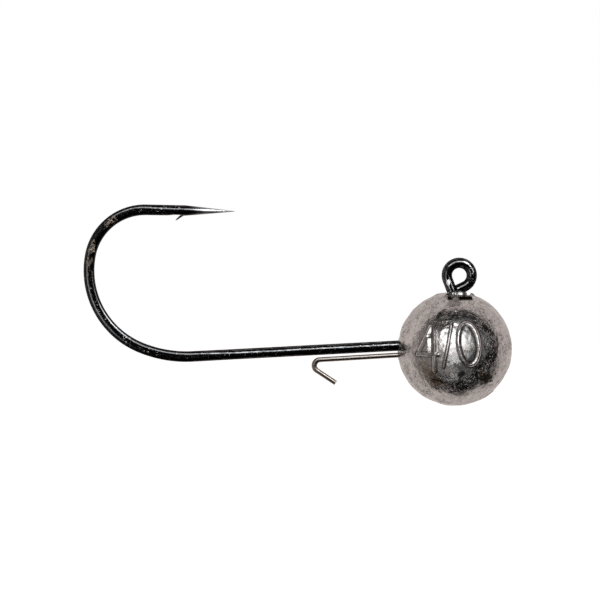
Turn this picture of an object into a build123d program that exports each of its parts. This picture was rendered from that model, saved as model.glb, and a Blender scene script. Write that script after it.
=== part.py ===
from build123d import *

import os
from math import atan2, cos, degrees, radians, sin, tan

# Round ball jig head: a lead ball cast around the leg of a ringed jig hook and around the
# anchored end of a thin wire keeper, which stops a soft bait sliding back down the shank.
#
# Frame, in millimetres: the origin is the centre of the line eye's hole. +X runs from the
# hook's bend towards the ball, +Z from the ball up to the eye, and the hook lies in the
# plane y = 0, which is also the parting plane of the casting. The raised numerals face -Y.

# Hook wire
WIRE_D = 1.32
FORGED_D = 1.36  # in the plane of the bend, where the wire is pressed flat
FORGED_THICKNESS = 1.20  # across the flats, along Y

# Line eye: a closed ring whose end lies against the leg
EYE_RING_R = 1.575  # to the middle of the wire
EYE_BORE_R = 0.94  # the land that the forming pin leaves inside the ring
EYE_LEG_LEAN = 21.0  # degrees, from the ring's left side in to the leg
EYE_END_DROP = 25.0  # degrees, the last straight of the ring below the horizontal
EYE_END_LENGTH = 1.25

# Leg and shank
LEG_X = -0.90
LEG_CORNER_Z = -8.55  # where the axes of leg and shank cross, inside the lead
LEG_TOP_BEND_R = 1.2
LEG_FOOT_BEND_R = 1.6
SHANK_SLOPE = 3.0  # degrees, down towards the bend
FORGING_START_X = -27.8
SHANK_END_X = -33.74

# Bend: three tangent arcs of falling radius, as (radius, degrees)
BEND_ARCS = ((15.3, 25.0), (10.55, 78.6), (7.04, 80.4))

# Point
POINT_LEG_LENGTH = 11.2
FORGING_END_LENGTH = 4.6  # from the end of the bend, where the wire is round again
TAPER_LENGTH = 6.3
TAPER_MID_RADIUS = 0.352
TIP_RADIUS = 0.03
BARB_ROOT = 6.50  # back from the tip
BARB_REACH = 0.92  # from root to barb tip, along the wire
BARB_DEPTH = 0.60  # barb tip below the wire's underside
BARB_THICKNESS = 0.30
BARB_WIDTH = 0.60

# Wire keeper
KEEPER_D = 0.63
KEEPER_SLOPE = 3.4
KEEPER_BEND_START = (-17.66, -10.69)
KEEPER_BEND_R = 0.74
KEEPER_BEND_TURN = 143.0
KEEPER_BARB_LENGTH = 2.85
KEEPER_ANCHOR_X = -1.80  # where the hidden end turns down inside the lead
KEEPER_ANCHOR_R = 1.0
KEEPER_ANCHOR_DROP = 2.6

# Lead ball
BALL_X = -0.58
BALL_Z = -9.30
BALL_R = 7.18
SEAM_HEIGHT = 0.04
SEAM_WIDTH = 0.26

# Pocket across the crown and the collar of lead that holds the foot of the eye
POCKET_LEFT_X = -1.62
POCKET_RIGHT_X = 1.42
POCKET_FLOOR_Z = -2.86
COLLAR_LEFT_X = -1.60
COLLAR_RIGHT_X = 1.03
COLLAR_TOP_Z = -1.98
COLLAR_DEPTH = 1.90
COLLAR_CORNER_R = 0.80
COLLAR_TOP_R = 0.22

# Trimmed casting gate on the parting plane, low on the side away from the bend, all but flush
GATE_ANGLE = -54.0
GATE_R = 0.90
GATE_HEIGHT = 0.03

# Raised numerals, as strokes in (x, z) from the middle of the ball
NUMERAL_HEIGHT = 0.22
STROKE = 0.60
THIN_STROKE = 0.36
ZERO_CENTRE = (1.26, 0.71)
ZERO_HALF_WIDTH = 1.26
ZERO_HALF_HEIGHT = 2.56
ZERO_LEAN = 7.0
SLASH_ENDS = ((-0.80, 3.29), (-1.81, -2.13))
FOUR_STEM = ((-3.02, 2.81), (-2.90, -2.60))
FOUR_ARM = ((-3.35, 2.81), (-4.95, -0.56))
FOUR_BAR = ((-4.95, -0.56), (-2.50, -0.56))


def direction(angle):
    """Unit vector in the hook's plane, its angle in degrees from +X towards +Z."""
    return Vector(cos(radians(angle)), sin(radians(angle)))


def round_wire(path, diameter):
    """A round wire along a path that is drawn in the hook's plane."""
    section = Plane(path @ 0, z_dir=path % 0) * Circle(diameter / 2)
    return Plane.XZ * sweep(section, path=path)


def eye_ring():
    """The ring of the line eye, from where it leaves the leg round to its cut end."""
    leave = 180 + EYE_LEG_LEAN
    finish = EYE_END_DROP - 90
    ring = CenterArc((0, 0), EYE_RING_R, leave, finish - leave)
    end = Line(ring @ 1, (ring @ 1) + direction(180 + EYE_END_DROP) * EYE_END_LENGTH)
    return round_wire(Wire([*ring.edges(), *end.edges()]), WIRE_D)


def shank_z(x):
    """Height of the shank's axis at x."""
    return LEG_CORNER_Z + (x - LEG_X) * tan(radians(SHANK_SLOPE))


def leg_and_shank():
    """The leg down into the lead, the right-angled turn there, and the round shank."""
    ring_side = direction(180 + EYE_LEG_LEAN) * EYE_RING_R
    top_corner_z = ring_side.Y - (LEG_X - ring_side.X) / tan(radians(EYE_LEG_LEAN))
    path = FilletPolyline(
        ring_side,
        (LEG_X, top_corner_z),
        (LEG_X, LEG_CORNER_Z),
        (FORGING_START_X, shank_z(FORGING_START_X)),
        radius=(LEG_TOP_BEND_R, LEG_FOOT_BEND_R),
    )
    return round_wire(path, WIRE_D)


def cone_between(start, end, start_d, end_d):
    """A tapered length of wire between two points of the hook's plane."""
    along = Plane.XZ * Line(start, end)
    return Plane(along @ 0, z_dir=along % 0) * Cone(
        start_d / 2, end_d / 2, along.length, align=(Align.CENTER, Align.CENTER, Align.MIN)
    )


def bend_path():
    """The three arcs of the bend, turning up and over from the shank to the point leg."""
    arcs = []
    at = Vector(SHANK_END_X, shank_z(SHANK_END_X))
    heading = 180 + SHANK_SLOPE
    for radius, turn in BEND_ARCS:
        arc = JernArc(at, direction(heading), radius, -turn)
        arcs += arc.edges()
        at = arc @ 1
        heading -= turn
    return Wire(arcs), at, heading


def flats(x_round, x_flat, z_low, z_high):
    """A cutter that presses both sides of the wire from round down to the forged flats."""
    far_x, far_y = -60.0, 3.0
    side = Polyline(
        (x_round, WIRE_D / 2),
        (x_flat, FORGED_THICKNESS / 2),
        (far_x, FORGED_THICKNESS / 2),
        (far_x, far_y),
        (x_round, far_y),
        close=True,
    )
    block = Pos(0, 0, z_low) * extrude(make_face(side), z_high - z_low)
    return block + mirror(block, Plane.XZ)


def point(tip, heading):
    """The long needle taper, turned about the axis of the point leg."""
    outline = make_face(
        [
            *Line((0, 0), (0, TIP_RADIUS)).edges(),
            *ThreePointArc(
                (0, TIP_RADIUS),
                (-TAPER_LENGTH / 2, TAPER_MID_RADIUS),
                (-TAPER_LENGTH, WIRE_D / 2),
            ).edges(),
            *Line((-TAPER_LENGTH, WIRE_D / 2), (-TAPER_LENGTH, 0)).edges(),
            *Line((-TAPER_LENGTH, 0), (0, 0)).edges(),
        ]
    )
    needle = revolve(outline, Axis.X)
    return Pos(tip.X, 0, tip.Y) * Rot(0, -heading, 0) * needle


def barb(tip, heading):
    """The small barb sliced up from the inner side of the point leg."""
    under = -WIRE_D / 2
    sliver = Polyline(
        (-BARB_ROOT + BARB_THICKNESS, under + 0.15),
        (-BARB_ROOT, under),
        (-BARB_ROOT - BARB_REACH, under - BARB_DEPTH),
        (-BARB_ROOT - 2 * BARB_THICKNESS, under + 0.15),
        close=True,
    )
    wedge = Plane.XZ * extrude(make_face(sliver), BARB_WIDTH / 2, both=True)
    return Pos(tip.X, 0, tip.Y) * Rot(0, -heading, 0) * wedge


def make_hook():
    """The whole hook as one piece of wire, from the eye round to the point."""
    bend, bend_end, heading = bend_path()
    shank_end = (SHANK_END_X, shank_z(SHANK_END_X))
    forging_start = (FORGING_START_X, shank_z(FORGING_START_X))
    forging_end = bend_end + direction(heading) * FORGING_END_LENGTH
    tip = bend_end + direction(heading) * POINT_LEG_LENGTH
    taper_start = tip - direction(heading) * TAPER_LENGTH

    forged = cone_between(forging_start, shank_end, WIRE_D, FORGED_D)
    forged += round_wire(bend, FORGED_D)
    forged += cone_between(bend_end, forging_end, FORGED_D, WIRE_D)
    forged -= flats(FORGING_START_X, SHANK_END_X, -14.0, 0.0)
    forged -= flats(forging_end.X, bend_end.X, 0.0, 12.0)

    hook = eye_ring() + leg_and_shank() + forged
    hook += round_wire(Line(forging_end, taper_start), WIRE_D)
    hook += point(tip, heading) + barb(tip, heading)
    return hook - Rot(90, 0, 0) * Cylinder(EYE_BORE_R, 2 * WIRE_D)


def make_keeper():
    """The keeper: a hidden anchor, the run under the shank, and the bait barb."""
    bend_start = Vector(*KEEPER_BEND_START)
    heading = 180 + KEEPER_SLOPE
    rise = (KEEPER_ANCHOR_X - bend_start.X) * tan(radians(KEEPER_SLOPE))
    anchor = Vector(KEEPER_ANCHOR_X, bend_start.Y + rise)
    run = FilletPolyline(
        anchor - Vector(0, KEEPER_ANCHOR_DROP), anchor, bend_start, radius=KEEPER_ANCHOR_R
    )
    bend = JernArc(bend_start, direction(heading), KEEPER_BEND_R, KEEPER_BEND_TURN)
    barb_end = (bend @ 1) + direction(heading + KEEPER_BEND_TURN) * KEEPER_BARB_LENGTH
    barb_leg = Line(bend @ 1, barb_end)
    return round_wire(Wire([*run.edges(), *bend.edges(), *barb_leg.edges()]), KEEPER_D)


def stroke(ends, width):
    """One straight stroke of a numeral with round ends, in (x, z) from the ball's middle."""
    line = Line(*ends)
    along = line % 0
    turn = degrees(atan2(along.Y, along.X))
    return Pos(*(line @ 0.5)) * Rot(0, 0, turn) * SlotCenterToCenter(line.length, width)


def numerals():
    """The hook size, standing proud of the ball's front."""
    outer = Ellipse(ZERO_HALF_WIDTH + STROKE / 2, ZERO_HALF_HEIGHT + STROKE / 2)
    inner = Ellipse(ZERO_HALF_WIDTH - STROKE / 2, ZERO_HALF_HEIGHT - STROKE / 2)
    zero = Pos(*ZERO_CENTRE) * Rot(0, 0, ZERO_LEAN) * (outer - inner)
    slash = stroke(SLASH_ENDS, THIN_STROKE)
    four = stroke(FOUR_STEM, STROKE) + stroke(FOUR_ARM, STROKE) + stroke(FOUR_BAR, STROKE)
    raised = Plane.XZ * extrude(zero + slash + four, BALL_R + 1)
    return raised & Sphere(BALL_R + NUMERAL_HEIGHT)


def make_head(hook, keeper):
    """The cast ball, with its seam, gate, numerals, crown pocket and eye collar."""
    ball = Sphere(BALL_R)
    ball += Sphere(BALL_R + SEAM_HEIGHT) & Box(3 * BALL_R, SEAM_WIDTH, 3 * BALL_R)
    gate = Rot(0, 90 - GATE_ANGLE, 0) * Cylinder(
        GATE_R, BALL_R + GATE_HEIGHT, align=(Align.CENTER, Align.CENTER, Align.MIN)
    )
    ball = Pos(BALL_X, 0, BALL_Z) * (ball + gate + numerals())

    pocket_width = POCKET_RIGHT_X - POCKET_LEFT_X
    pocket = Pos(POCKET_LEFT_X, 0, POCKET_FLOOR_Z) * Box(
        pocket_width, 2 * BALL_R, 3.0, align=(Align.MIN, Align.CENTER, Align.MIN)
    )
    collar_width = COLLAR_RIGHT_X - COLLAR_LEFT_X
    collar_middle = (COLLAR_RIGHT_X + COLLAR_LEFT_X) / 2
    outline = RectangleRounded(collar_width, COLLAR_DEPTH, COLLAR_CORNER_R)
    collar = extrude(outline, COLLAR_TOP_Z - POCKET_FLOOR_Z + 0.5)
    collar = fillet(collar.faces().sort_by(Axis.Z)[-1].edges(), COLLAR_TOP_R)
    collar = Pos(collar_middle, 0, POCKET_FLOOR_Z - 0.5) * collar
    return ball - pocket + collar - hook - keeper


def main():
    os.makedirs("parts", exist_ok=True)
    hook = make_hook()
    keeper = make_keeper()
    head = make_head(hook, keeper)
    for name, shape in (("hook", hook), ("wire_keeper", keeper), ("lead_head", head)):
        export_step(shape, f"parts/{name}.step")


main()
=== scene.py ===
import math

import bpy
import numpy as np
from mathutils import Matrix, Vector


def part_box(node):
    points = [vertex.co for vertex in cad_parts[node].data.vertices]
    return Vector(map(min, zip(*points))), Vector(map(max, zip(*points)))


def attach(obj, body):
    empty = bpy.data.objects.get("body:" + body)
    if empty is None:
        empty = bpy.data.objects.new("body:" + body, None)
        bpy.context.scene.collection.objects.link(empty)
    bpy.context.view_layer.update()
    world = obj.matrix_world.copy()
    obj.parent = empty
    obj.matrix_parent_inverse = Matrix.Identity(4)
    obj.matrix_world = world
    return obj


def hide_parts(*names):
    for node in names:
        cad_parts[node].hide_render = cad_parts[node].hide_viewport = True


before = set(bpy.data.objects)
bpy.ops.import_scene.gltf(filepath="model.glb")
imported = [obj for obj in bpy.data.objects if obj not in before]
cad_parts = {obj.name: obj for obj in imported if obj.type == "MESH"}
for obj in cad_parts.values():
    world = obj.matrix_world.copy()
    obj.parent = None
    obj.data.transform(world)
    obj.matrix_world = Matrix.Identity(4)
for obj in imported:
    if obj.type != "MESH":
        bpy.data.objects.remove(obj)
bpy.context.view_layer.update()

# Ball jig head. Lengths are in millimetres until a mesh is made, in the CAD frame: the origin
# is the centre of the line eye, +X runs towards the ball, +Z up, and the hook lies in y = 0.
# Angles are in degrees, except where a comment says otherwise.
MM = 0.001

# Hook wire, from the eye's ring down the leg, along the shank and round the bend
WIRE_R = 0.66
EYE_RING_R = 1.575
EYE_LEG_LEAN = 21.0
EYE_END_DROP = 25.0
EYE_END_LENGTH = 1.04
CUT_BEVEL = 0.09
LEG_X = -0.90
LEG_CORNER_Z = -8.55
LEG_TOP_BEND_R = 1.2
LEG_FOOT_BEND_R = 1.6
SHANK_SLOPE = 3.0
SHANK_END_X = -33.74
BEND_ARCS = ((15.3, 25.0), (10.55, 78.6), (7.04, 80.4))  # radius and turn, from the shank on
POINT_LEG_LENGTH = 11.2

# The bend is pressed a little flat: how far before it that starts, how far inside the bend
# it is full, and how far beyond the bend it is gone
FORGED_R = 0.677
FORGED_HALF_THICKNESS = 0.60
FORGED_CORNER = 0.9
FORGING_ONSET = 6.0
FORGING_SETTLE = 2.0
FORGING_TAIL = 4.6

# Point and barb: the taper's length and the barb's root are measured back from the tip, and
# the nick behind the barb back from its root. The barb's foot is buried in the wire by
# BARB_OVERLAP along it and BARB_SINK into it.
TAPER_LENGTH = 6.3
TAPER_BULGE = 0.10
TIP_R = 0.025
BARB_ROOT = 6.50
BARB_REACH = 0.92
BARB_DEPTH = 0.60
BARB_OVERLAP = 0.25
BARB_SINK = 0.30
BARB_HALF_THICKNESS = 0.17
BARB_HALF_WIDTH = 0.33
BARB_EDGE_HALF_THICKNESS = 0.02
BARB_EDGE_HALF_WIDTH = 0.03
NICK_DEPTH = 0.10
NICK_CUT_LENGTH = 0.30
NICK_LENGTH = 2.2
NICK_FADE_LENGTH = 1.2

# A painted highlight, as a bright bare spot on the front where the eye's ring runs into the leg:
# its middle, and how far it reaches across and up
GLINT_SPOT = (-1.44, -0.92)
GLINT_REACH = (0.26, 0.42)

# Wire keeper
KEEPER_R = 0.315
KEEPER_SLOPE = 3.4
KEEPER_BEND_START = (-17.66, -10.69)
KEEPER_BEND_R = 0.74
KEEPER_BEND_TURN = 143.0
KEEPER_BARB_LENGTH = 2.85
KEEPER_ANCHOR_X = -1.80
KEEPER_ANCHOR_R = 1.0
KEEPER_ANCHOR_DROP = 2.6
KEEPER_BEVEL = 0.05
KEEPER_BEND_WIDER = 0.10
KEEPER_BEND_THINNER = 0.08

# How far apart the rings of a wire's mesh are, and how many sides they have
HOOK_RING_GAP = 0.13
HOOK_SIDES = 48
BARB_RINGS = 15
BARB_SIDES = 20
KEEPER_RING_GAP = 0.10
KEEPER_SIDES = 32


def box_mm(node):
    """A CAD node's lowest and highest corner, in millimetres."""
    low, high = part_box(node)
    return np.array(low) / MM, np.array(high) / MM


# Ball, from its CAD box: the seam stands SEAM_HEIGHT proud all round the hook's plane.
SEAM_HEIGHT = 0.04
BALL_LOW, BALL_HIGH = box_mm("lead_head")
SEAM_R = (BALL_HIGH[0] - BALL_LOW[0]) / 2
BALL_R = SEAM_R - SEAM_HEIGHT
BALL_CENTRE = np.array([BALL_LOW[0] + SEAM_R, 0.0, BALL_LOW[2] + SEAM_R])


# ---------------------------------------------------------------- small maths helpers

def smooth(low, high, x):
    """0 at low, 1 at high, with an even S between; low may be above high."""
    t = np.clip((x - low) / (high - low), 0.0, 1.0)
    return t * t * (3 - 2 * t)


def bell(points, middle, reach):
    """1 at middle, falling away over reach, which may differ from axis to axis."""
    off = (points - np.array(middle)) / np.array(reach)
    return np.exp(-np.sum(off**2, axis=1))


def waves(points, wavelength, seed, count=28):
    """Soft noise of about unit spread: a sum of plane waves in random directions."""
    draw = np.random.default_rng(seed)
    ways = draw.normal(size=(count, 3))
    ways /= np.linalg.norm(ways, axis=1)[:, None]
    ways *= (2 * math.pi / wavelength * draw.uniform(0.7, 1.4, count))[:, None]
    phases = draw.uniform(0, 2 * math.pi, count)
    return np.sin(points @ ways.T + phases).sum(1) * math.sqrt(2 / count)


def graded(low, high, spacing, count):
    """count + 1 values from low to high, closest together where spacing(value) is least."""
    fine = np.linspace(low, high, 4001)
    steps = np.diff(fine) / spacing((fine[1:] + fine[:-1]) / 2)
    rank = np.concatenate([[0.0], np.cumsum(steps)])
    return np.interp(np.linspace(0, rank[-1], count + 1), rank, fine)


def make_object(name, vertices, faces, attributes, material):
    """A smooth-shaded mesh object from millimetres, with named numbers on its vertices."""
    mesh = bpy.data.meshes.new(name)
    mesh.from_pydata((np.asarray(vertices) * MM).tolist(), [], faces)
    for key, values in attributes.items():
        layer = mesh.attributes.new(key, "FLOAT", "POINT")
        layer.data.foreach_set("value", np.asarray(values, dtype=np.float32))
    mesh.validate()
    mesh.shade_smooth()
    mesh.materials.append(material)
    piece = bpy.data.objects.new(name, mesh)
    bpy.context.scene.collection.objects.link(piece)
    return piece


# ---------------------------------------------------------------- wire

def unit(angle):
    """Unit vector in the hook's plane, its angle from +X towards +Z."""
    return np.array([math.cos(math.radians(angle)), math.sin(math.radians(angle))])


def walk(start, heading, steps, spacing):
    """Follows straight runs (length,) and arcs (radius, turn to the left in degrees).
    Returns the points passed, the heading at each in radians, and the distance walked."""
    points, headings, walked = [np.array(start, float)], [math.radians(heading)], [0.0]
    for step in steps:
        turn = math.radians(step[1]) if len(step) == 2 else 0.0
        length = abs(step[0] * turn) if turn else step[0]
        count = max(1, math.ceil(length / spacing))
        at, way = points[-1], headings[-1]
        for k in range(1, count + 1):
            part = k / count
            mid = way + turn * part / 2
            chord = length * part * (np.sinc(turn * part / 2 / math.pi) if turn else 1.0)
            points.append(at + chord * np.array([math.cos(mid), math.sin(mid)]))
            headings.append(way + turn * part)
            walked.append(walked[-1] + length / count)
    return np.array(points), np.array(headings), np.array(walked)


def tube(points, headings, across, thick, corner, around, pinch=None):
    """Rings of vertices along a path in the hook's plane. across is half the width in that
    plane, thick half the width along Y, and corner the power that squares the section, 2
    being round. pinch shaves that much off the right-hand side of the path."""
    angles = np.linspace(0, 2 * math.pi, around, endpoint=False)
    c, s = np.cos(angles), np.sin(angles)
    power = (2.0 / corner)[:, None]
    u = across[:, None] * np.sign(c) * np.abs(c) ** power
    y = thick[:, None] * np.sign(s) * np.abs(s) ** power
    if pinch is not None:
        u = np.maximum(u, -(across - pinch)[:, None])
    left = np.stack([-np.sin(headings), np.cos(headings)], axis=1)
    x = points[:, :1] + u * left[:, :1]
    z = points[:, 1:] + u * left[:, 1:]
    return np.stack([x, y, z], axis=2)


def skin(rings):
    """Vertices and faces of a closed tube: quads between rings, and a fan at each end."""
    rows, around = rings.shape[:2]
    vertices = rings.reshape(-1, 3).tolist()
    faces = []
    for i in range(rows - 1):
        for j in range(around):
            k = (j + 1) % around
            a, b = i * around, (i + 1) * around
            faces.append((a + j, a + k, b + k, b + j))
    for row, order in ((0, 1), (rows - 1, -1)):
        middle = len(vertices)
        vertices.append(rings[row].mean(0).tolist())
        for j in range(around):
            k = (j + 1) % around
            edge = (row * around + j, row * around + k)[::order]
            faces.append((middle, edge[1], edge[0]))
    return vertices, faces


def rounded_end(distance, bevel):
    """How far the section draws in, at a distance along the wire from its cut end."""
    inside = np.clip((bevel - distance) / bevel, 0, 1)
    return bevel * (1 - np.sqrt(1 - inside**2))


def bevel_steps(bevel):
    """Short runs that give a cut end's bevel its own rings."""
    edges = bevel * (1 - np.cos(np.linspace(0, math.pi / 2, 6)))
    return [(float(step),) for step in np.diff(edges)]


def shank_z(x):
    """Height of the shank's axis."""
    return LEG_CORNER_Z + (x - LEG_X) * math.tan(math.radians(SHANK_SLOPE))


def keeper_z(x):
    """Height of the axis of the keeper's run."""
    rise = (x - KEEPER_BEND_START[0]) * math.tan(math.radians(KEEPER_SLOPE))
    return KEEPER_BEND_START[1] + rise


def hook_path():
    """The whole hook, walked from the ring's cut end round to the point."""
    ring_turn = 180 + EYE_LEG_LEAN - (EYE_END_DROP - 90)
    ring_foot = unit(EYE_END_DROP - 90) * EYE_RING_R
    cut_end = ring_foot + unit(180 + EYE_END_DROP) * EYE_END_LENGTH
    ring_side = unit(180 + EYE_LEG_LEAN) * EYE_RING_R
    lean = math.radians(EYE_LEG_LEAN)
    top_bend_tangent = LEG_TOP_BEND_R * math.tan(lean / 2)
    lean_run = (LEG_X - ring_side[0]) / math.sin(lean) - top_bend_tangent
    top_corner_z = ring_side[1] - (LEG_X - ring_side[0]) / math.tan(lean)
    foot_turn = 90 - SHANK_SLOPE
    foot_tangent = LEG_FOOT_BEND_R * math.tan(math.radians(foot_turn / 2))
    leg_run = top_corner_z - top_bend_tangent - LEG_CORNER_Z - foot_tangent
    shank_run = (LEG_X - SHANK_END_X) / math.cos(math.radians(SHANK_SLOPE)) - foot_tangent
    steps = bevel_steps(CUT_BEVEL)
    steps += [(EYE_END_LENGTH - CUT_BEVEL,), (EYE_RING_R, ring_turn), (lean_run,)]
    steps += [(LEG_TOP_BEND_R, -EYE_LEG_LEAN), (leg_run,), (LEG_FOOT_BEND_R, -foot_turn)]
    steps += [(shank_run,)]
    steps += [(radius, -turn) for radius, turn in BEND_ARCS]
    steps += [(POINT_LEG_LENGTH,)]
    return walk(cut_end, EYE_END_DROP, steps, HOOK_RING_GAP)


def make_hook(material):
    """The hook as one swept wire: round in eye and shank, pressed flat in the bend."""
    points, headings, walked = hook_path()
    to_tip = walked[-1] - walked
    bend_end = POINT_LEG_LENGTH
    bend_start = bend_end + sum(radius * math.radians(turn) for radius, turn in BEND_ARCS)
    forged = smooth(bend_start + FORGING_ONSET, bend_start - FORGING_SETTLE, to_tip)
    forged *= smooth(bend_end - FORGING_TAIL, bend_end + FORGING_SETTLE, to_tip)
    along = np.clip(to_tip / TAPER_LENGTH, 0, 1)
    taper = along * (1 + TAPER_BULGE * (1 - along))

    def half_width(plain, pressed):
        full = plain + (pressed - plain) * forged
        tapered = np.where(along < 1, TIP_R + (full - TIP_R) * taper, full)
        return tapered - rounded_end(walked, CUT_BEVEL)

    past_root = to_tip - BARB_ROOT
    nick = NICK_DEPTH * smooth(-0.05, NICK_CUT_LENGTH, past_root)
    nick *= smooth(NICK_LENGTH, NICK_LENGTH - NICK_FADE_LENGTH, past_root)
    rings = tube(
        points,
        headings,
        half_width(WIRE_R, FORGED_R),
        half_width(WIRE_R, FORGED_HALF_THICKNESS),
        2 + FORGED_CORNER * forged,
        HOOK_SIDES,
        nick,
    )
    vertices, faces = skin(rings)
    at = np.array(vertices)
    in_plane = np.abs(np.cos(np.linspace(0, 2 * math.pi, HOOK_SIDES, endpoint=False)))
    on_flat = np.tile(smooth(0.75, 0.35, in_plane), len(to_tip))
    attributes = {
        "to_tip": np.concatenate([np.repeat(to_tip, HOOK_SIDES), to_tip[[0, -1]]]),
        "on_flat": np.concatenate([on_flat, [0.0, 0.0]]),
        # The front of the join between the eye's ring and the leg carries a painted highlight.
        "painted_glint": bell(at[:, [0, 2]], GLINT_SPOT, GLINT_REACH) * (at[:, 1] < 0),
    }
    hook = make_object("jig_hook", vertices, faces, attributes, material)
    union(hook, make_barb(points[-1], headings[-1], material))
    return hook


def make_barb(tip, heading, material):
    """A thin tongue cut up from the inner side of the point leg, leaning back."""
    forward = np.array([math.cos(heading), math.sin(heading)])
    inward = np.array([math.sin(heading), -math.cos(heading)])
    t = np.linspace(0, 1, BARB_RINGS)
    back = BARB_ROOT - BARB_OVERLAP + (BARB_REACH + BARB_OVERLAP) * t
    depth = WIRE_R - BARB_SINK + (BARB_DEPTH + BARB_SINK) * t**1.15
    points = tip - back[:, None] * forward + depth[:, None] * inward
    way = np.gradient(points, axis=0)
    headings = np.arctan2(way[:, 1], way[:, 0])
    thin = BARB_HALF_THICKNESS * (1 - t) ** 0.5 + BARB_EDGE_HALF_THICKNESS
    wide = BARB_HALF_WIDTH * (1 - t**2.6) + BARB_EDGE_HALF_WIDTH
    rings = tube(points, headings, thin, wide, np.full(len(t), 2.0), BARB_SIDES)
    vertices, faces = skin(rings)
    none = np.zeros(len(vertices))
    attributes = {"to_tip": none + BARB_ROOT, "on_flat": none, "painted_glint": none}
    return make_object("barb_tool", vertices, faces, attributes, material)


def union(piece, tool):
    """Joins tool to piece as one closed skin and deletes it."""
    joined = piece.modifiers.new("join", "BOOLEAN")
    joined.operation = "UNION"
    joined.solver = "EXACT"
    joined.object = tool
    graph = bpy.context.evaluated_depsgraph_get()
    mesh = bpy.data.meshes.new_from_object(piece.evaluated_get(graph))
    piece.modifiers.clear()
    piece.data = mesh
    bpy.data.objects.remove(tool)


def make_keeper(material):
    """The keeper: hidden anchor, run under the shank, bend and bait barb."""
    anchor_turn = 90 + KEEPER_SLOPE
    anchor_tangent = KEEPER_ANCHOR_R * math.tan(math.radians(anchor_turn / 2))
    run = (KEEPER_ANCHOR_X - KEEPER_BEND_START[0]) / math.cos(math.radians(KEEPER_SLOPE))
    steps = bevel_steps(KEEPER_BEVEL)
    steps += [(KEEPER_ANCHOR_DROP - anchor_tangent - KEEPER_BEVEL,)]
    steps += [(KEEPER_ANCHOR_R, anchor_turn), (run - anchor_tangent,)]
    steps += [(KEEPER_BEND_R, KEEPER_BEND_TURN), (KEEPER_BARB_LENGTH - KEEPER_BEVEL,)]
    steps += bevel_steps(KEEPER_BEVEL)[::-1]
    start = (KEEPER_ANCHOR_X, keeper_z(KEEPER_ANCHOR_X) - KEEPER_ANCHOR_DROP)
    points, headings, walked = walk(start, 90, steps, KEEPER_RING_GAP)

    to_end = walked[-1] - walked
    before_barb = to_end - KEEPER_BARB_LENGTH
    squeezed = smooth(-0.4, 0.4, before_barb) * smooth(2.0, 1.2, before_barb)
    radius = KEEPER_R - rounded_end(walked, KEEPER_BEVEL) - rounded_end(to_end, KEEPER_BEVEL)
    rings = tube(
        points,
        headings,
        radius * (1 + KEEPER_BEND_WIDER * squeezed),
        radius * (1 - KEEPER_BEND_THINNER * squeezed),
        np.full(len(walked), 2.0),
        KEEPER_SIDES,
    )
    vertices, faces = skin(rings)
    return make_object("bait_keeper", vertices, faces, {}, material)


# ---------------------------------------------------------------- lead ball
# Places on the ball's surface are measured from its middle, except the pocket and the
# collar, whose X and Z are in the CAD frame. Where nothing else is said, a pair of numbers
# is where a soft edge starts and where it ends.

# Numerals, drawn flat in x and z and raised on the side that faces -Y. A flank goes from
# where it starts to rise, outside the outline, to where it is level, inside.
NUMERAL_HEIGHT = 0.20
NUMERAL_FLANK = (0.05, -0.27)
STROKE = 0.60
THIN_STROKE = 0.36
ZERO_CENTRE = (1.26, 0.71)
ZERO_HALF_WIDTH = 1.26
ZERO_HALF_HEIGHT = 2.56
ZERO_LEAN = 7.0
SLASH_ENDS = ((-0.80, 3.29), (-1.81, -2.13))
FOUR_STEM = ((-3.02, 2.81), (-2.90, -2.60))
FOUR_ARM = ((-3.35, 2.81), (-4.95, -0.56))
FOUR_BAR = ((-4.95, -0.56), (-2.50, -0.56))
COUNTER_FILL_HEIGHT = 0.19
COUNTER_FILL_RIGHT_X = -3.22
COUNTER_FILL_SLOPE_WIDTH = 0.50
COUNTER_FILL_TOP = (1.75, 1.40)
COUNTER_FILL_FOOT = (-0.55, -0.30)

# Stands for a distance that is too great to matter
FAR = 9.0

# Pocket across the crown, and the collar that stands in it round the eye's leg
CROWN_SHARE = 0.6
POCKET_LEFT_X = -1.62
POCKET_RIGHT_X = 1.42
POCKET_FLOOR_Z = -2.86
POCKET_STEP_HEIGHT = 0.34
POCKET_STEP = (0.95, 1.25)
COLLAR_LEFT_X = -1.60
COLLAR_RIGHT_X = 1.03
COLLAR_TOP_Z = -1.98
COLLAR_DEPTH = 1.90
COLLAR_CORNER_R = 0.80
COLLAR_OUTLINE = (  # how far in from the collar's edge, and the share of its height
    (0.0, 0.0), (0.02, 0.36), (0.06, 0.46), (0.08, 0.78), (0.14, 0.86), (0.38, 1.0)
)
COLLAR_FLARE_HEIGHT = 0.40
COLLAR_FLARE_REACH = 0.34
COLLAR_LAP = (-2.24, 0.045)  # height of the dark fold line round it, and its spread

# The casting: slow swells (wavelength, height, seed), stray lumps (where, reach, height),
# the burr by the pocket, and small dents, each of a radius and a depth drawn between two
SWELLS = ((4.5, 0.016, 1), (1.5, 0.009, 2), (0.62, 0.004, 3))
LUMPS = (
    ((-0.23, -5.19, 4.95), 0.24, 0.17),
    ((-2.2, -0.25, 6.86), 0.55, 0.14),
)
BURR = (2.18, 0.0, 6.84)
BURR_REACH = (0.30, 0.24, 0.30)
BURR_HEIGHT = 0.14
SEAM_HALF_WIDTH = 0.075
DENTS = 90
DENT_R = (0.12, 0.55)
DENT_DEPTH = (0.006, 0.035)

# The trimmed gate, and the sinks where the wires leave, each ringed by a low lip: how far
# outside the wire the lip is highest, and its spread
GATE_ANGLE = -54.0
GATE_R = 0.90
GATE_EDGE = 0.06
GATE_STUB = 0.03
SINK_DEPTH = 0.45
SINK_EDGE = (0.09, -0.02)
LIP_HEIGHT = 0.05
LIP = (0.20, 0.10)
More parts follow.
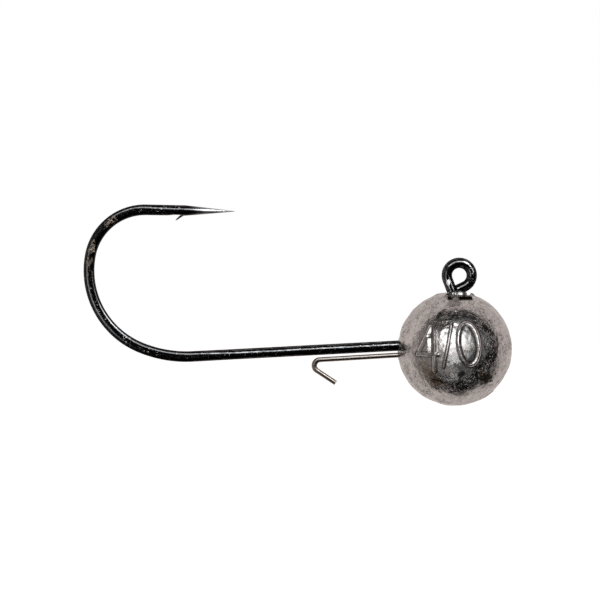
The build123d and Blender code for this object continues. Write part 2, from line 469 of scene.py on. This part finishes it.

# Dark bands along the strokes, one round the foot of every stroke and one of painted shade
# just inside the right side of the 0: how far outside the outline the middle of each runs, and its
# spread
FOOT_LINE = (0.02, 0.060)
ZERO_SHADE = (0.05, 0.22)

# Painted shade on the face of the stem of the 4, below the bar and, added to that, above it
STEM_SHADE = 0.30
STEM_TOP_SHADE = 0.38

# Where the face is cleanest, among the numerals
BURNISHED = (-0.5, -7.1, 0.9)
BURNISHED_REACH = 3.0

# Dark patches: where, how far they reach, how dark. The first and third are a painted reflection
# of the dark surroundings, low on the right and at the top; the second darkens a spot below the
# middle of the face.
DARK_PATCHES = (
    ((3.6, -5.0, -3.6), 0.95, 0.90),
    ((0.45, -6.5, -3.1), 0.60, 0.90),
    ((-0.3, -4.3, 5.7), 1.0, 0.45),
)

# Brown spots: where, how far they reach, how strong
RUST_SPOTS = (
    ((-4.2, -5.4, -1.8), 0.8, 0.50),
    ((-3.5, -5.5, -2.9), 1.0, 0.75),
    ((-2.7, -5.3, -4.0), 0.9, 0.90),
    ((2.9, -5.8, -3.1), 0.6, 0.90),
)


def band(distance, middle, spread):
    """1 where distance is middle, falling away to both sides over spread."""
    return np.exp(-(((distance - middle) / spread) ** 2))


def from_stroke(x, z, ends):
    """Distance from the straight line between two points."""
    (ax, az), (bx, bz) = ends
    dx, dz = bx - ax, bz - az
    t = np.clip(((x - ax) * dx + (z - az) * dz) / (dx * dx + dz * dz), 0, 1)
    return np.hypot(x - ax - t * dx, z - az - t * dz)


def from_zero(x, z):
    """Distance from the oval line of the numeral 0."""
    lean = math.radians(ZERO_LEAN)
    u = (x - ZERO_CENTRE[0]) * math.cos(lean) + (z - ZERO_CENTRE[1]) * math.sin(lean)
    v = (z - ZERO_CENTRE[1]) * math.cos(lean) - (x - ZERO_CENTRE[0]) * math.sin(lean)
    level = np.hypot(u / ZERO_HALF_WIDTH, v / ZERO_HALF_HEIGHT) + 1e-6
    slope = np.hypot(u / ZERO_HALF_WIDTH**2, v / ZERO_HALF_HEIGHT**2) / level
    return np.abs(level - 1) / (slope + 1e-6)


def from_numeral_edge(at):
    """Distance outside the outline of the size numerals, below zero within a stroke."""
    x, z = at[:, 0], at[:, 2]
    edge = from_zero(x, z) - STROKE / 2
    edge = np.minimum(edge, from_stroke(x, z, SLASH_ENDS) - THIN_STROKE / 2)
    for ends in (FOUR_STEM, FOUR_ARM, FOUR_BAR):
        edge = np.minimum(edge, from_stroke(x, z, ends) - STROKE / 2)
    return np.where(at[:, 1] < 0, edge, FAR)


def counter_fill(at):
    """The metal that half fills the counter of the 4, sloping down to the stem, 0 to 1."""
    x, z = at[:, 0], at[:, 2]
    (top_x, top_z), (low_x, low_z) = FOUR_ARM
    arm_x = low_x + (z - low_z) * (top_x - low_x) / (top_z - low_z)
    inside = smooth(-0.1, 0.1, x - arm_x)
    inside *= smooth(*COUNTER_FILL_TOP, z) * smooth(*COUNTER_FILL_FOOT, z)
    slope = np.clip((COUNTER_FILL_RIGHT_X - x) / COUNTER_FILL_SLOPE_WIDTH, 0, 1)
    return np.where(at[:, 1] < 0, inside * slope, 0.0)


def zero_inner_shade(at):
    """Painted shade just inside the right side of the numeral 0, along the inner flank of its
    stroke, 0 to 1.
    """
    x, z = at[:, 0], at[:, 2]
    across = (x - ZERO_CENTRE[0]) / ZERO_HALF_WIDTH
    up = (z - ZERO_CENTRE[1]) / ZERO_HALF_HEIGHT
    to_right = smooth(-0.40, 0.10, across + 0.10 * waves(at, 0.9, 12))
    near = band(from_zero(x, z) - STROKE / 2, *ZERO_SHADE)
    return np.where((at[:, 1] < 0) & (np.hypot(across, up) < 1), near * to_right, 0.0)


def stem_shade(at):
    """Painted shade along the face of the stem of the 4, stronger above the bar, 0 to 1."""
    x, z = at[:, 0], at[:, 2]
    dark = smooth(0.10, -0.15, from_stroke(x, z, FOUR_STEM) - STROKE / 2)
    dark *= STEM_SHADE + STEM_TOP_SHADE * smooth(-1.0, -0.2, z) + 0.06 * waves(at, 0.7, 13)
    return np.where(at[:, 1] < 0, dark, 0.0)


def numerals(base):
    """How high the numerals stand on the ball, and the dark lines and painted shade in and round
    them.
    """
    edge = from_numeral_edge(base)
    relief = smooth(*NUMERAL_FLANK, edge)
    height = relief * (NUMERAL_HEIGHT + 0.010 * waves(base, 0.9, 5))
    height += COUNTER_FILL_HEIGHT * counter_fill(base) * (1 - relief)
    # A dark line runs round the foot of every stroke.
    at_foot = band(edge, *FOOT_LINE) * (0.95 + 0.15 * waves(base, 0.8, 8))
    return height, np.maximum(np.maximum(at_foot, zero_inner_shade(base)), stem_shade(base))


def blots(base, spots, low, high, ragged):
    """The strongest of some spots at each point, 0 to 1. A spot is full where its bell is
    over high, gone where it is under low, and ragged roughens its edge."""
    strongest = np.zeros(len(base))
    for middle, reach, strength in spots:
        near = bell(base, middle, reach)
        patch = smooth(low, high, near + ragged * (near > 0.05))
        strongest = np.maximum(strongest, strength * patch)
    return strongest


def dents(base):
    """How deep the small round dents of the casting are at each point."""
    draw = np.random.default_rng(11)
    depths = np.zeros(len(base))
    for _ in range(DENTS):
        middle = draw.normal(size=3)
        middle *= BALL_R / np.linalg.norm(middle)
        radius = draw.uniform(*DENT_R)
        depth = draw.uniform(*DENT_DEPTH)
        reach = np.linalg.norm(base - middle, axis=1) / radius
        depths += depth * np.where(reach < 1, (1 - reach**2) ** 2, 0.0)
    return depths


def trim_gate(way, base, height):
    """Height over the ball once the gate's stub is cut off flat."""
    across, up = unit(GATE_ANGLE)
    gate_way = np.array([across, 0.0, up])
    off_gate = np.linalg.norm(np.cross(base, gate_way), axis=1)
    on_gate = smooth(GATE_R + GATE_EDGE, GATE_R - GATE_EDGE, off_gate) * (way @ gate_way > 0)
    flat = BALL_R + GATE_STUB + 0.01 * waves(base, 0.35, 6)
    return height + on_gate * (flat / np.maximum(way @ gate_way, 0.5) - BALL_R - height)


def sink_wires(at, grime_and_shade):
    """The shallow sinks, each in a low lip, where the shank and the keeper leave the ball
    on its left side, with painted shade on the ball round each wire."""
    at = at.copy()
    for slope, axis_z, radius in (
        (SHANK_SLOPE, shank_z, WIRE_R),
        (KEEPER_SLOPE, keeper_z, KEEPER_R),
    ):
        z = at[:, 2] - (axis_z(at[:, 0] + BALL_CENTRE[0]) - BALL_CENTRE[2])
        gap = np.hypot(at[:, 1], z * math.cos(math.radians(slope))) - radius
        gap = np.where(at[:, 0] < 0, gap, FAR)
        at[:, 0] += SINK_DEPTH * smooth(*SINK_EDGE, gap)
        at[:, 0] -= LIP_HEIGHT * band(gap, *LIP)
        # Painted shade round each wire where it goes into the ball, standing in for the shadow in
        # the gap.
        grime_and_shade = np.maximum(grime_and_shade, smooth(0.22, 0.03, gap))
    return at, grime_and_shade


def from_collar(x, y):
    """Distance outside the collar's rounded oblong, below zero within it."""
    half_x = (COLLAR_RIGHT_X - COLLAR_LEFT_X) / 2
    middle = (COLLAR_RIGHT_X + COLLAR_LEFT_X) / 2
    past_x = np.abs(x - middle) - half_x + COLLAR_CORNER_R
    past_y = np.abs(y) - COLLAR_DEPTH / 2 + COLLAR_CORNER_R
    outside = np.hypot(np.maximum(past_x, 0), np.maximum(past_y, 0))
    return outside + np.minimum(np.maximum(past_x, past_y), 0) - COLLAR_CORNER_R


def crown(at, grime_and_shade):
    """The pocket across the top of the ball and the collar standing in it."""
    x = at[:, 0] + BALL_CENTRE[0]
    y, z = at[:, 1], at[:, 2] + BALL_CENTRE[2]
    high = at[:, 2] > CROWN_SHARE * BALL_R
    ragged = 0.025 * waves(at, 0.6, 43)
    floor = POCKET_FLOOR_Z + 0.02 * waves(at, 0.5, 41)
    floor += POCKET_STEP_HEIGHT * smooth(*POCKET_STEP, x)
    in_pocket = smooth(POCKET_LEFT_X - 0.06, POCKET_LEFT_X + 0.03, x + ragged)
    in_pocket *= smooth(POCKET_RIGHT_X + 0.04, POCKET_RIGHT_X - 0.06, x + ragged)
    pocket = z - in_pocket * np.maximum(z - floor, 0)

    gap = from_collar(x, y) + 0.3 * ragged
    inset, share = np.array(COLLAR_OUTLINE).T
    collar = POCKET_FLOOR_Z + (COLLAR_TOP_Z - POCKET_FLOOR_Z) * np.interp(-gap, inset, share)
    flare = COLLAR_FLARE_HEIGHT * np.clip(1 - gap / COLLAR_FLARE_REACH, 0, 1) ** 2
    beside = np.minimum(POCKET_FLOOR_Z + flare, z)
    lifted = np.maximum(pocket, np.where(gap < 0, collar, beside))

    # Painted shade: a dark band at the height of the pocket floor, over the right part of the
    # pocket and its left end, standing in for the shadow at the collar's foot.
    foot_shade = smooth(0.30, 0.18, np.abs(lifted - POCKET_FLOOR_Z + 0.04))
    foot_shade *= np.maximum(smooth(-0.50, -0.15, x), smooth(-0.90, -1.15, x))
    foot_shade *= smooth(POCKET_RIGHT_X + 0.10, POCKET_RIGHT_X, x)
    foot_shade *= smooth(POCKET_LEFT_X - 0.10, POCKET_LEFT_X, x)
    lap = band(lifted, *COLLAR_LAP)
    lap *= (gap < 0.02) * smooth(0.2, -0.3, x + y)
    spread = np.where(gap < 0, 0.35 + 0.45 * smooth(-0.80, -1.10, x), 0.5)
    stain = spread * smooth(1.3, 0.2, gap) * (0.5 + 0.5 * waves(at, 0.8, 44))
    marks = np.maximum(np.maximum(foot_shade, stain), 0.8 * lap)
    grime_and_shade = np.where(high, np.maximum(grime_and_shade, marks), grime_and_shade)
    at = at.copy()
    at[:, 2] = np.where(high, lifted - BALL_CENTRE[2], at[:, 2])
    return at, grime_and_shade


def cast_surface(way):
    """Where each direction from the ball's middle meets the cast surface, with the grime and
    painted shade in its corners and in a few patches, the clean face and the brown spots, each 0
    to 1."""
    base = way * BALL_R
    height, grime_and_shade = numerals(base)
    for wavelength, rise, seed in SWELLS:
        height += rise * waves(base, wavelength, seed)
    seam = band(base[:, 1], 0.0, SEAM_HALF_WIDTH)
    height += seam * SEAM_HEIGHT * (0.75 + 0.25 * waves(base, 2.0, 4))
    for middle, reach, rise in LUMPS:
        height += rise * bell(base, middle, reach)
    burr = bell(base, BURR, BURR_REACH)
    height += BURR_HEIGHT * burr
    grime_and_shade = np.maximum(grime_and_shade, smooth(0.20, 0.5, burr))
    # Darkens the listed patches, two of them a painted reflection of the dark surroundings.
    grime_and_shade = np.maximum(grime_and_shade, blots(base, DARK_PATCHES, 0.25, 0.75, 0.16 * waves(base, 0.8, 9)))
    height = trim_gate(way, base, height - dents(base))

    at = base + way * height[:, None]
    at, grime_and_shade = sink_wires(at, grime_and_shade)
    at, grime_and_shade = crown(at, grime_and_shade)
    at = np.clip(at, BALL_LOW - BALL_CENTRE, BALL_HIGH - BALL_CENTRE)
    return at, {
        "grime_and_shade": np.clip(grime_and_shade, 0, 1),
        "burnish": bell(base, BURNISHED, BURNISHED_REACH),
        "rust": blots(base, RUST_SPOTS, 0.2, 0.9, 0.2 * waves(base, 0.7, 14)),
    }


BALL_RINGS = 248
BALL_SIDES = 396


def ring_gap(colatitude):
    """Spacing of the ball's rings, in radians from its top: least over the crown, and fine
    where the numerals are."""
    fine = np.where(colatitude < 0.47, 0.046, 0.14)
    return np.where((colatitude > 1.0) & (colatitude < 2.05), 0.078, fine)


def side_gap(azimuth):
    """Spacing of the ball's sides, in radians round from +X: fine on the face, which is
    past pi, and least where the wires leave."""
    front = np.where(azimuth > math.pi, 0.084, 0.17)
    return np.where(np.abs(azimuth - math.pi) < 0.25, 0.07, front)


def make_ball(material):
    """The cast ball: a sphere graded finest over the crown and the numerals."""
    colatitude = graded(0.0, math.pi, ring_gap, BALL_RINGS)[1:-1]
    azimuth = graded(0.0, 2 * math.pi, side_gap, BALL_SIDES)[:-1]
    down, round_axis = np.meshgrid(colatitude, azimuth, indexing="ij")
    out = np.sin(down)
    way = np.stack([out * np.cos(round_axis), out * np.sin(round_axis), np.cos(down)], 2)
    way = np.concatenate([way.reshape(-1, 3), [[0, 0, 1.0], [0, 0, -1.0]]])

    at, attributes = cast_surface(way)
    top, bottom = len(at) - 2, len(at) - 1
    last = (len(colatitude) - 1) * BALL_SIDES
    faces = []
    for i in range(len(colatitude) - 1):
        for j in range(BALL_SIDES):
            k = (j + 1) % BALL_SIDES
            a, b = i * BALL_SIDES, (i + 1) * BALL_SIDES
            faces.append((a + j, b + j, b + k, a + k))
    for j in range(BALL_SIDES):
        k = (j + 1) % BALL_SIDES
        faces.append((top, j, k))
        faces.append((bottom, last + k, last + j))
    return make_object("lead_ball", at + BALL_CENTRE, faces, attributes, material)


# ---------------------------------------------------------------- materials

class Nodes:
    """Short calls for building a node tree."""

    def __init__(self, tree):
        self.tree = tree

    def add(self, kind, **settings):
        node = self.tree.nodes.new(kind)
        for key, value in settings.items():
            setattr(node, key, value)
        return node

    def link(self, source, target):
        self.tree.links.new(source, target)

    def feed(self, target, value):
        """Links a socket to target, or sets target to a constant."""
        if hasattr(value, "links"):
            self.link(value, target)
        else:
            target.default_value = value

    def ramp(self, source, low, high, to_low=0.0, to_high=1.0):
        """Goes smoothly from to_low to to_high as source goes from low to high."""
        node = self.add("ShaderNodeMapRange", interpolation_type="SMOOTHSTEP")
        self.feed(node.inputs["Value"], source)
        for key, value in (
            ("From Min", low), ("From Max", high), ("To Min", to_low), ("To Max", to_high)
        ):
            node.inputs[key].default_value = value
        return node.outputs["Result"]

    def math(self, operation, a, b):
        node = self.add("ShaderNodeMath", operation=operation)
        self.feed(node.inputs[0], a)
        self.feed(node.inputs[1], b)
        return node.outputs[0]


class Metal(Nodes):
    """A material with one Principled shader, and the textures that feed it."""

    COLOUR_A, COLOUR_B, COLOUR_OUT = 6, 7, 2  # the mix node's colour sockets

    def __init__(self, name):
        self.material = bpy.data.materials.new(name)
        self.material.use_nodes = True
        super().__init__(self.material.node_tree)
        self.shader = self.tree.nodes["Principled BSDF"]
        self.place = self.add("ShaderNodeTexCoord").outputs["Object"]

    def give(self, socket, value):
        """Feeds one of the shader's own sockets."""
        self.feed(self.shader.inputs[socket], value)

    def noise(self, size_mm, detail, rough, stretch=(1, 1, 1)):
        """Noise whose blotches are about size_mm across."""
        node = self.add("ShaderNodeTexNoise")
        node.inputs["Scale"].default_value = 1.0
        node.inputs["Detail"].default_value = detail
        node.inputs["Roughness"].default_value = rough
        scale = self.add("ShaderNodeVectorMath", operation="MULTIPLY")
        self.link(self.place, scale.inputs[0])
        scale.inputs[1].default_value = [share / (size_mm * MM) for share in stretch]
        self.link(scale.outputs[0], node.inputs["Vector"])
        return node.outputs["Fac"]

    def mix(self, amount, a, b):
        """Colour a where amount is 0, and b where it is 1."""
        node = self.add("ShaderNodeMix", data_type="RGBA")
        self.feed(node.inputs["Factor"], amount)
        self.feed(node.inputs[self.COLOUR_A], a)
        self.feed(node.inputs[self.COLOUR_B], b)
        return node.outputs[self.COLOUR_OUT]

    def attribute(self, name):
        """A number kept on the mesh's vertices."""
        return self.add("ShaderNodeAttribute", attribute_name=name).outputs["Fac"]

    def bump(self, height, depth_mm, strength=1.0, below=None):
        node = self.add("ShaderNodeBump")
        node.inputs["Strength"].default_value = strength
        node.inputs["Distance"].default_value = depth_mm * MM
        self.link(height, node.inputs["Height"])
        if below is not None:
            self.link(below, node.inputs["Normal"])
        return node.outputs["Normal"]


def grey(value, warm=0.0):
    """A grey, with that much more red and less blue."""
    return (value * (1 + warm), value, value * (1 - warm), 1.0)


WARM_LEAD = (0.68, 0.64, 0.615, 1)
COOL_LEAD = (0.62, 0.63, 0.635, 1)
CLOUDED_LEAD = (0.44, 0.42, 0.41, 1)
WARM_OXIDE = (0.36, 0.325, 0.295, 1)
COOL_OXIDE = (0.33, 0.335, 0.34, 1)
BROWN_TARNISH = (0.33, 0.225, 0.12, 1)
BROWN_DIRT_AND_SHADE = (0.040, 0.025, 0.017, 1)


def cast_lead():
    """Bright cast lead freckled with dull oxide, brown in places, darkened in its corners and in a
    few patches by grime and painted shade.
    """
    make = Metal("cast_lead")
    grime_and_shade = make.attribute("grime_and_shade")
    grain = make.noise(0.20, 3.0, 0.65)
    blotch = make.noise(1.6, 4.0, 0.62)
    dent = make.noise(0.55, 2.0, 0.5)
    tint = make.noise(0.35, 3.0, 0.6)
    cloud = make.noise(0.5, 5.0, 0.65)
    brown = make.noise(0.9, 3.0, 0.6)

    cleaned = make.math("MULTIPLY", make.attribute("burnish"), 0.13)
    density = make.math("SUBTRACT", make.ramp(blotch, 0.35, 0.65, -0.08, 0.08), cleaned)
    oxide = make.ramp(make.math("ADD", grain, density), 0.56, 0.66)
    pits = make.ramp(make.math("ADD", make.noise(0.26, 2.0, 0.6), density), 0.60, 0.68)

    colour = make.mix(make.ramp(tint, 0.40, 0.60), WARM_LEAD, COOL_LEAD)
    colour = make.mix(make.ramp(cloud, 0.42, 0.62, 0.0, 0.75), colour, CLOUDED_LEAD)
    colour = make.mix(oxide, colour, make.mix(make.ramp(tint, 0.38, 0.62), WARM_OXIDE, COOL_OXIDE))
    colour = make.mix(make.math("MULTIPLY", pits, 0.6), colour, grey(0.14, 0.10))
    rusty = make.math("MULTIPLY", make.attribute("rust"), make.ramp(cloud, 0.36, 0.56, 0.45, 1.0))
    colour = make.mix(rusty, colour, BROWN_TARNISH)
    # One near-black, brown in places, serves both for dirt and for painted shade: where the mask
    # is high it darkens the colour and dims the reflection.
    dirt_and_shade = make.mix(make.ramp(brown, 0.52, 0.62, 0.0, 0.6), grey(0.014, 0.30), BROWN_DIRT_AND_SHADE)
    make.give("Base Color", make.mix(grime_and_shade, colour, dirt_and_shade))
    make.give("Specular Tint", make.mix(grime_and_shade, grey(1.0), grey(0.10)))
    make.give("Metallic", make.math("SUBTRACT", 1.0, make.math("MULTIPLY", oxide, 0.35)))

    rough = make.ramp(blotch, 0.38, 0.62, 0.15, 0.23)
    rough = make.math("ADD", rough, make.math("MULTIPLY", oxide, 0.15))
    rough = make.math("ADD", rough, make.math("MULTIPLY", grime_and_shade, 0.25))
    make.give("Roughness", rough)
    fine = make.bump(grain, 0.016)
    pitted = make.bump(make.math("SUBTRACT", 1.0, pits), 0.045, 1.0, fine)
    make.give("Normal", make.bump(dent, 0.030, 1.0, pitted))
    return make.material


# Stretches of the hook, in millimetres of wire back from its point: each pair is where the
# weight of a look is least, and where it is full
SCUFFED_FROM = (38.0, 46.0)
WORN_FROM = (13.5, 16.5)
WORN_TO = (25.0, 21.0)
CHIPPED_FROM = (3.6, 4.4)
CHIPPED_TO = (9.5, 8.0)
GROUND_TO = (6.5, 3.9)
BRIGHT_FROM = (0.2, 1.5)


def black_nickel():
    """Dark plated wire, scuffed along the shank, chipped near the barb, worn brown at the
    top of the bend and ground bare at the point, with a painted highlight as a bright bare spot by
    the eye."""
    make = Metal("black_nickel")
    to_tip = make.attribute("to_tip")
    speck = make.noise(0.26, 4.0, 0.6)
    scuff = make.noise(0.34, 3.0, 0.6, stretch=(0.35, 1, 1))
    patch = make.noise(1.6, 3.0, 0.6)

    scuffed = make.math("MULTIPLY", make.ramp(scuff, 0.46, 0.58), make.ramp(to_tip, *SCUFFED_FROM))
    on_bend = make.math("MULTIPLY", make.ramp(to_tip, *WORN_FROM), make.ramp(to_tip, *WORN_TO))
    worn = make.math("MULTIPLY", make.ramp(patch, 0.40, 0.54), make.ramp(speck, 0.40, 0.58))
    worn = make.math("MULTIPLY", make.math("MULTIPLY", worn, on_bend), make.attribute("on_flat"))
    by_barb = make.ramp(to_tip, *CHIPPED_FROM, 0.0, 0.07)
    by_barb = make.math("MULTIPLY", by_barb, make.ramp(to_tip, *CHIPPED_TO))
    chipped = make.ramp(make.math("ADD", speck, by_barb), 0.62, 0.66)
    chipped = make.math("MULTIPLY", chipped, make.ramp(patch, 0.46, 0.56))
    uneven = make.math("ADD", to_tip, make.math("MULTIPLY", speck, 1.2))
    ground = make.ramp(uneven, *GROUND_TO)
    bright = make.math("MULTIPLY", ground, make.ramp(to_tip, *BRIGHT_FROM, 0.35, 1.0))
    # Painted highlight: a bright bare spot on the front of the join by the eye.
    painted_glint = make.ramp(make.attribute("painted_glint"), 0.30, 0.55)
    bare = make.math("MAXIMUM", ground, painted_glint)

    colour = make.mix(make.ramp(speck, 0.35, 0.65), grey(0.040, -0.05), grey(0.075, -0.02))
    colour = make.mix(scuffed, colour, grey(0.15, -0.03))
    colour = make.mix(worn, colour, grey(0.17, 0.22))
    colour = make.mix(chipped, colour, grey(0.42, 0.10))
    colour = make.mix(bright, colour, grey(0.50, -0.03))
    make.give("Base Color", make.mix(painted_glint, colour, grey(0.80)))
    make.give("Specular Tint", make.mix(bare, grey(0.12), grey(0.22)))
    make.give("Metallic", 1.0)

    rough = make.ramp(speck, 0.35, 0.75, 0.10, 0.20)
    for share, extra in ((worn, 0.35), (bare, 0.28), (painted_glint, 0.15), (chipped, 0.3)):
        rough = make.math("ADD", rough, make.math("MULTIPLY", share, extra))
    make.give("Roughness", rough)
    plated = make.math("SUBTRACT", 1.0, bare)
    fine = make.bump(make.math("MULTIPLY", speck, plated), 0.010, 0.8)
    make.give("Normal", make.bump(make.math("MULTIPLY", scuff, plated), 0.014, 0.8, fine))
    return make.material


def bright_wire():
    """Drawn steel wire with a warm cast and fine lines along it."""
    make = Metal("bright_wire")
    lines = make.noise(0.10, 3.0, 0.6, stretch=(0.05, 1, 1))
    spots = make.noise(0.8, 4.0, 0.6)
    colour = make.mix(make.ramp(lines, 0.35, 0.70), grey(0.52, 0.07), grey(0.32, 0.12))
    make.give("Base Color", make.mix(make.ramp(spots, 0.60, 0.75), colour, grey(0.20, 0.16)))
    make.give("Metallic", 1.0)
    make.give("Roughness", make.ramp(spots, 0.3, 0.8, 0.22, 0.42))
    make.give("Normal", make.bump(lines, 0.004, 0.6))
    return make.material


# ---------------------------------------------------------------- pieces

def place(piece, node):
    """Puts piece on the part's one body, in the place of a CAD node."""
    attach(piece, "root")
    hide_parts(node)


ball = make_ball(cast_lead())
hook = make_hook(black_nickel())
keeper = make_keeper(bright_wire())
place(ball, "lead_head")
place(hook, "hook")
place(keeper, "wire_keeper")


# ---------------------------------------------------------------- studio

LENS = 135.0
SENSOR = 36.0
FRAME_WIDTH = 75.95
LOOK_AT = (-20.16, 0.0, -3.13)
FLOOR_Z = -60.0
FLOOR_HALF = 2500.0
LAMP_AIM = (-15.0, 0.0, -6.0)

# The tent: its white side, its dimmer glow at the front left, and the tint of both
WHITE_SIDE = (-0.01, 1, 0.13)
GLOW_SIDE = (-0.90, -0.46, -0.02)
TENT_WHITE = (1.0, 0.90, 0.865, 1)


def make_camera():
    """Level and square on to the hook's plane, FRAME_WIDTH of which fills the picture."""
    data = bpy.data.cameras.new("camera")
    data.lens = LENS
    data.sensor_width = SENSOR
    data.clip_start, data.clip_end = 0.01, 10.0
    camera = bpy.data.objects.new("camera", data)
    bpy.context.scene.collection.objects.link(camera)
    back = LENS * FRAME_WIDTH / SENSOR
    camera.location = Vector((LOOK_AT[0], -back, LOOK_AT[2])) * MM
    camera.rotation_euler = (math.pi / 2, 0.0, 0.0)
    bpy.context.scene.camera = camera


def make_floor():
    """A wide pale floor well below the hanging object, kept out of its reflections."""
    mesh = bpy.data.meshes.new("floor")
    half = FLOOR_HALF * MM
    corners = [(-half, -half, 0), (half, -half, 0), (half, half, 0), (-half, half, 0)]
    mesh.from_pydata(corners, [], [(0, 1, 2, 3)])
    pale = bpy.data.materials.new("pale_floor")
    pale.use_nodes = True
    shader = pale.node_tree.nodes["Principled BSDF"]
    shader.inputs["Base Color"].default_value = grey(0.85)
    shader.inputs["Roughness"].default_value = 0.9
    shader.inputs["Emission Color"].default_value = (1, 1, 1, 1)
    shader.inputs["Emission Strength"].default_value = 0.75
    mesh.materials.append(pale)
    floor = bpy.data.objects.new("floor", mesh)
    floor.location.z = FLOOR_Z * MM
    floor.visible_glossy = False
    floor.visible_diffuse = False
    bpy.context.scene.collection.objects.link(floor)


def area_light(name, position, size, brightness, piece):
    """A soft oval lamp that shines only on piece. brightness is how bright its face looks,
    whatever its size."""
    data = bpy.data.lights.new(name, "AREA")
    data.shape = "ELLIPSE"
    data.size, data.size_y = size[0] * MM, size[1] * MM
    data.energy = brightness * math.pi * data.size * data.size_y
    lamp = bpy.data.objects.new(name, data)
    lamp.location = Vector(position) * MM
    toward = Vector(LAMP_AIM) * MM - lamp.location
    lamp.rotation_euler = toward.to_track_quat("-Z", "Y").to_euler()
    bpy.context.scene.collection.objects.link(lamp)
    lit = bpy.data.collections.new(name + "_lit")
    lit.objects.link(piece)
    lamp.light_linking.receiver_collection = lit


def make_world():
    """White behind the object and dim in front of it, as in a light tent with one open
    side. The backdrop itself is plain white."""
    world = bpy.data.worlds.new("studio")
    bpy.context.scene.world = world
    world.use_nodes = True
    make = Nodes(world.node_tree)
    make.tree.nodes.clear()
    direction = make.add("ShaderNodeTexCoord").outputs["Generated"]

    def toward(way):
        """1 for rays that go that way, down to -1 for rays that go the other."""
        node = make.add("ShaderNodeVectorMath", operation="DOT_PRODUCT")
        make.link(direction, node.inputs[0])
        node.inputs[1].default_value = Vector(way).normalized()
        return node.outputs["Value"]

    white = make.ramp(toward(WHITE_SIDE), -0.02, 0.20, 0.0, 0.64)
    glow = make.ramp(toward(GLOW_SIDE), 0.45, 1.0, 0.008, 0.27)
    tent = make.add("ShaderNodeBackground")
    tent.inputs["Color"].default_value = TENT_WHITE
    make.link(make.math("ADD", white, glow), tent.inputs["Strength"])
    backdrop = make.add("ShaderNodeBackground")
    backdrop.inputs["Color"].default_value = (1, 1, 1, 1)
    mix = make.add("ShaderNodeMixShader")
    make.link(make.add("ShaderNodeLightPath").outputs["Is Camera Ray"], mix.inputs["Fac"])
    make.link(tent.outputs[0], mix.inputs[1])
    make.link(backdrop.outputs[0], mix.inputs[2])
    out = make.add("ShaderNodeOutputWorld")
    make.link(mix.outputs[0], out.inputs["Surface"])


# Lamps: name, where, how wide and high, how bright, and the piece each shines on
LAMPS = (
    ("wire_key", (5.0, -252.0, 150.0), (320.0, 120.0), 5.0, hook),
    ("window", (112.0, -188.0, 140.0), (130.0, 130.0), 11.0, hook),
    ("left_card", (-120.0, -240.0, -25.0), (50.0, 110.0), 3.0, hook),
    ("side_card", (170.0, -190.0, 60.0), (60.0, 70.0), 5.0, hook),
    ("soft_key", (-36.0, -257.0, 108.0), (100.0, 120.0), 0.9, ball),
    ("key_skirt", (-38.0, -260.0, 102.0), (190.0, 190.0), 0.75, ball),
    ("key_fringe", (-34.0, -266.0, 92.0), (290.0, 270.0), 0.60, ball),
    ("halo", (-12.0, -272.0, 70.0), (400.0, 340.0), 0.65, ball),
    ("right_wrap", (228.0, -160.0, 16.0), (110.0, 260.0), 0.16, ball),
    ("top_wrap", (36.0, -160.0, 218.0), (260.0, 110.0), 0.14, ball),
    ("low_fill", (-15.0, -250.0, -150.0), (480.0, 300.0), 0.08, ball),
    ("low_strip", (-45.0, -258.0, -118.0), (220.0, 40.0), 1.0, ball),
    ("low_patch", (-34.0, -170.0, -230.0), (80.0, 110.0), 0.45, ball),
    ("keeper_card", (-15.0, -218.0, 197.0), (260.0, 400.0), 1.3, keeper),
    ("barb_card", (78.0, -225.0, 128.0), (80.0, 90.0), 4.0, keeper),
)

make_camera()
make_floor()
make_world()
for lamp in LAMPS:
    area_light(*lamp)

view = bpy.context.scene.view_settings
view.view_transform = "Standard"
view.look = "None"
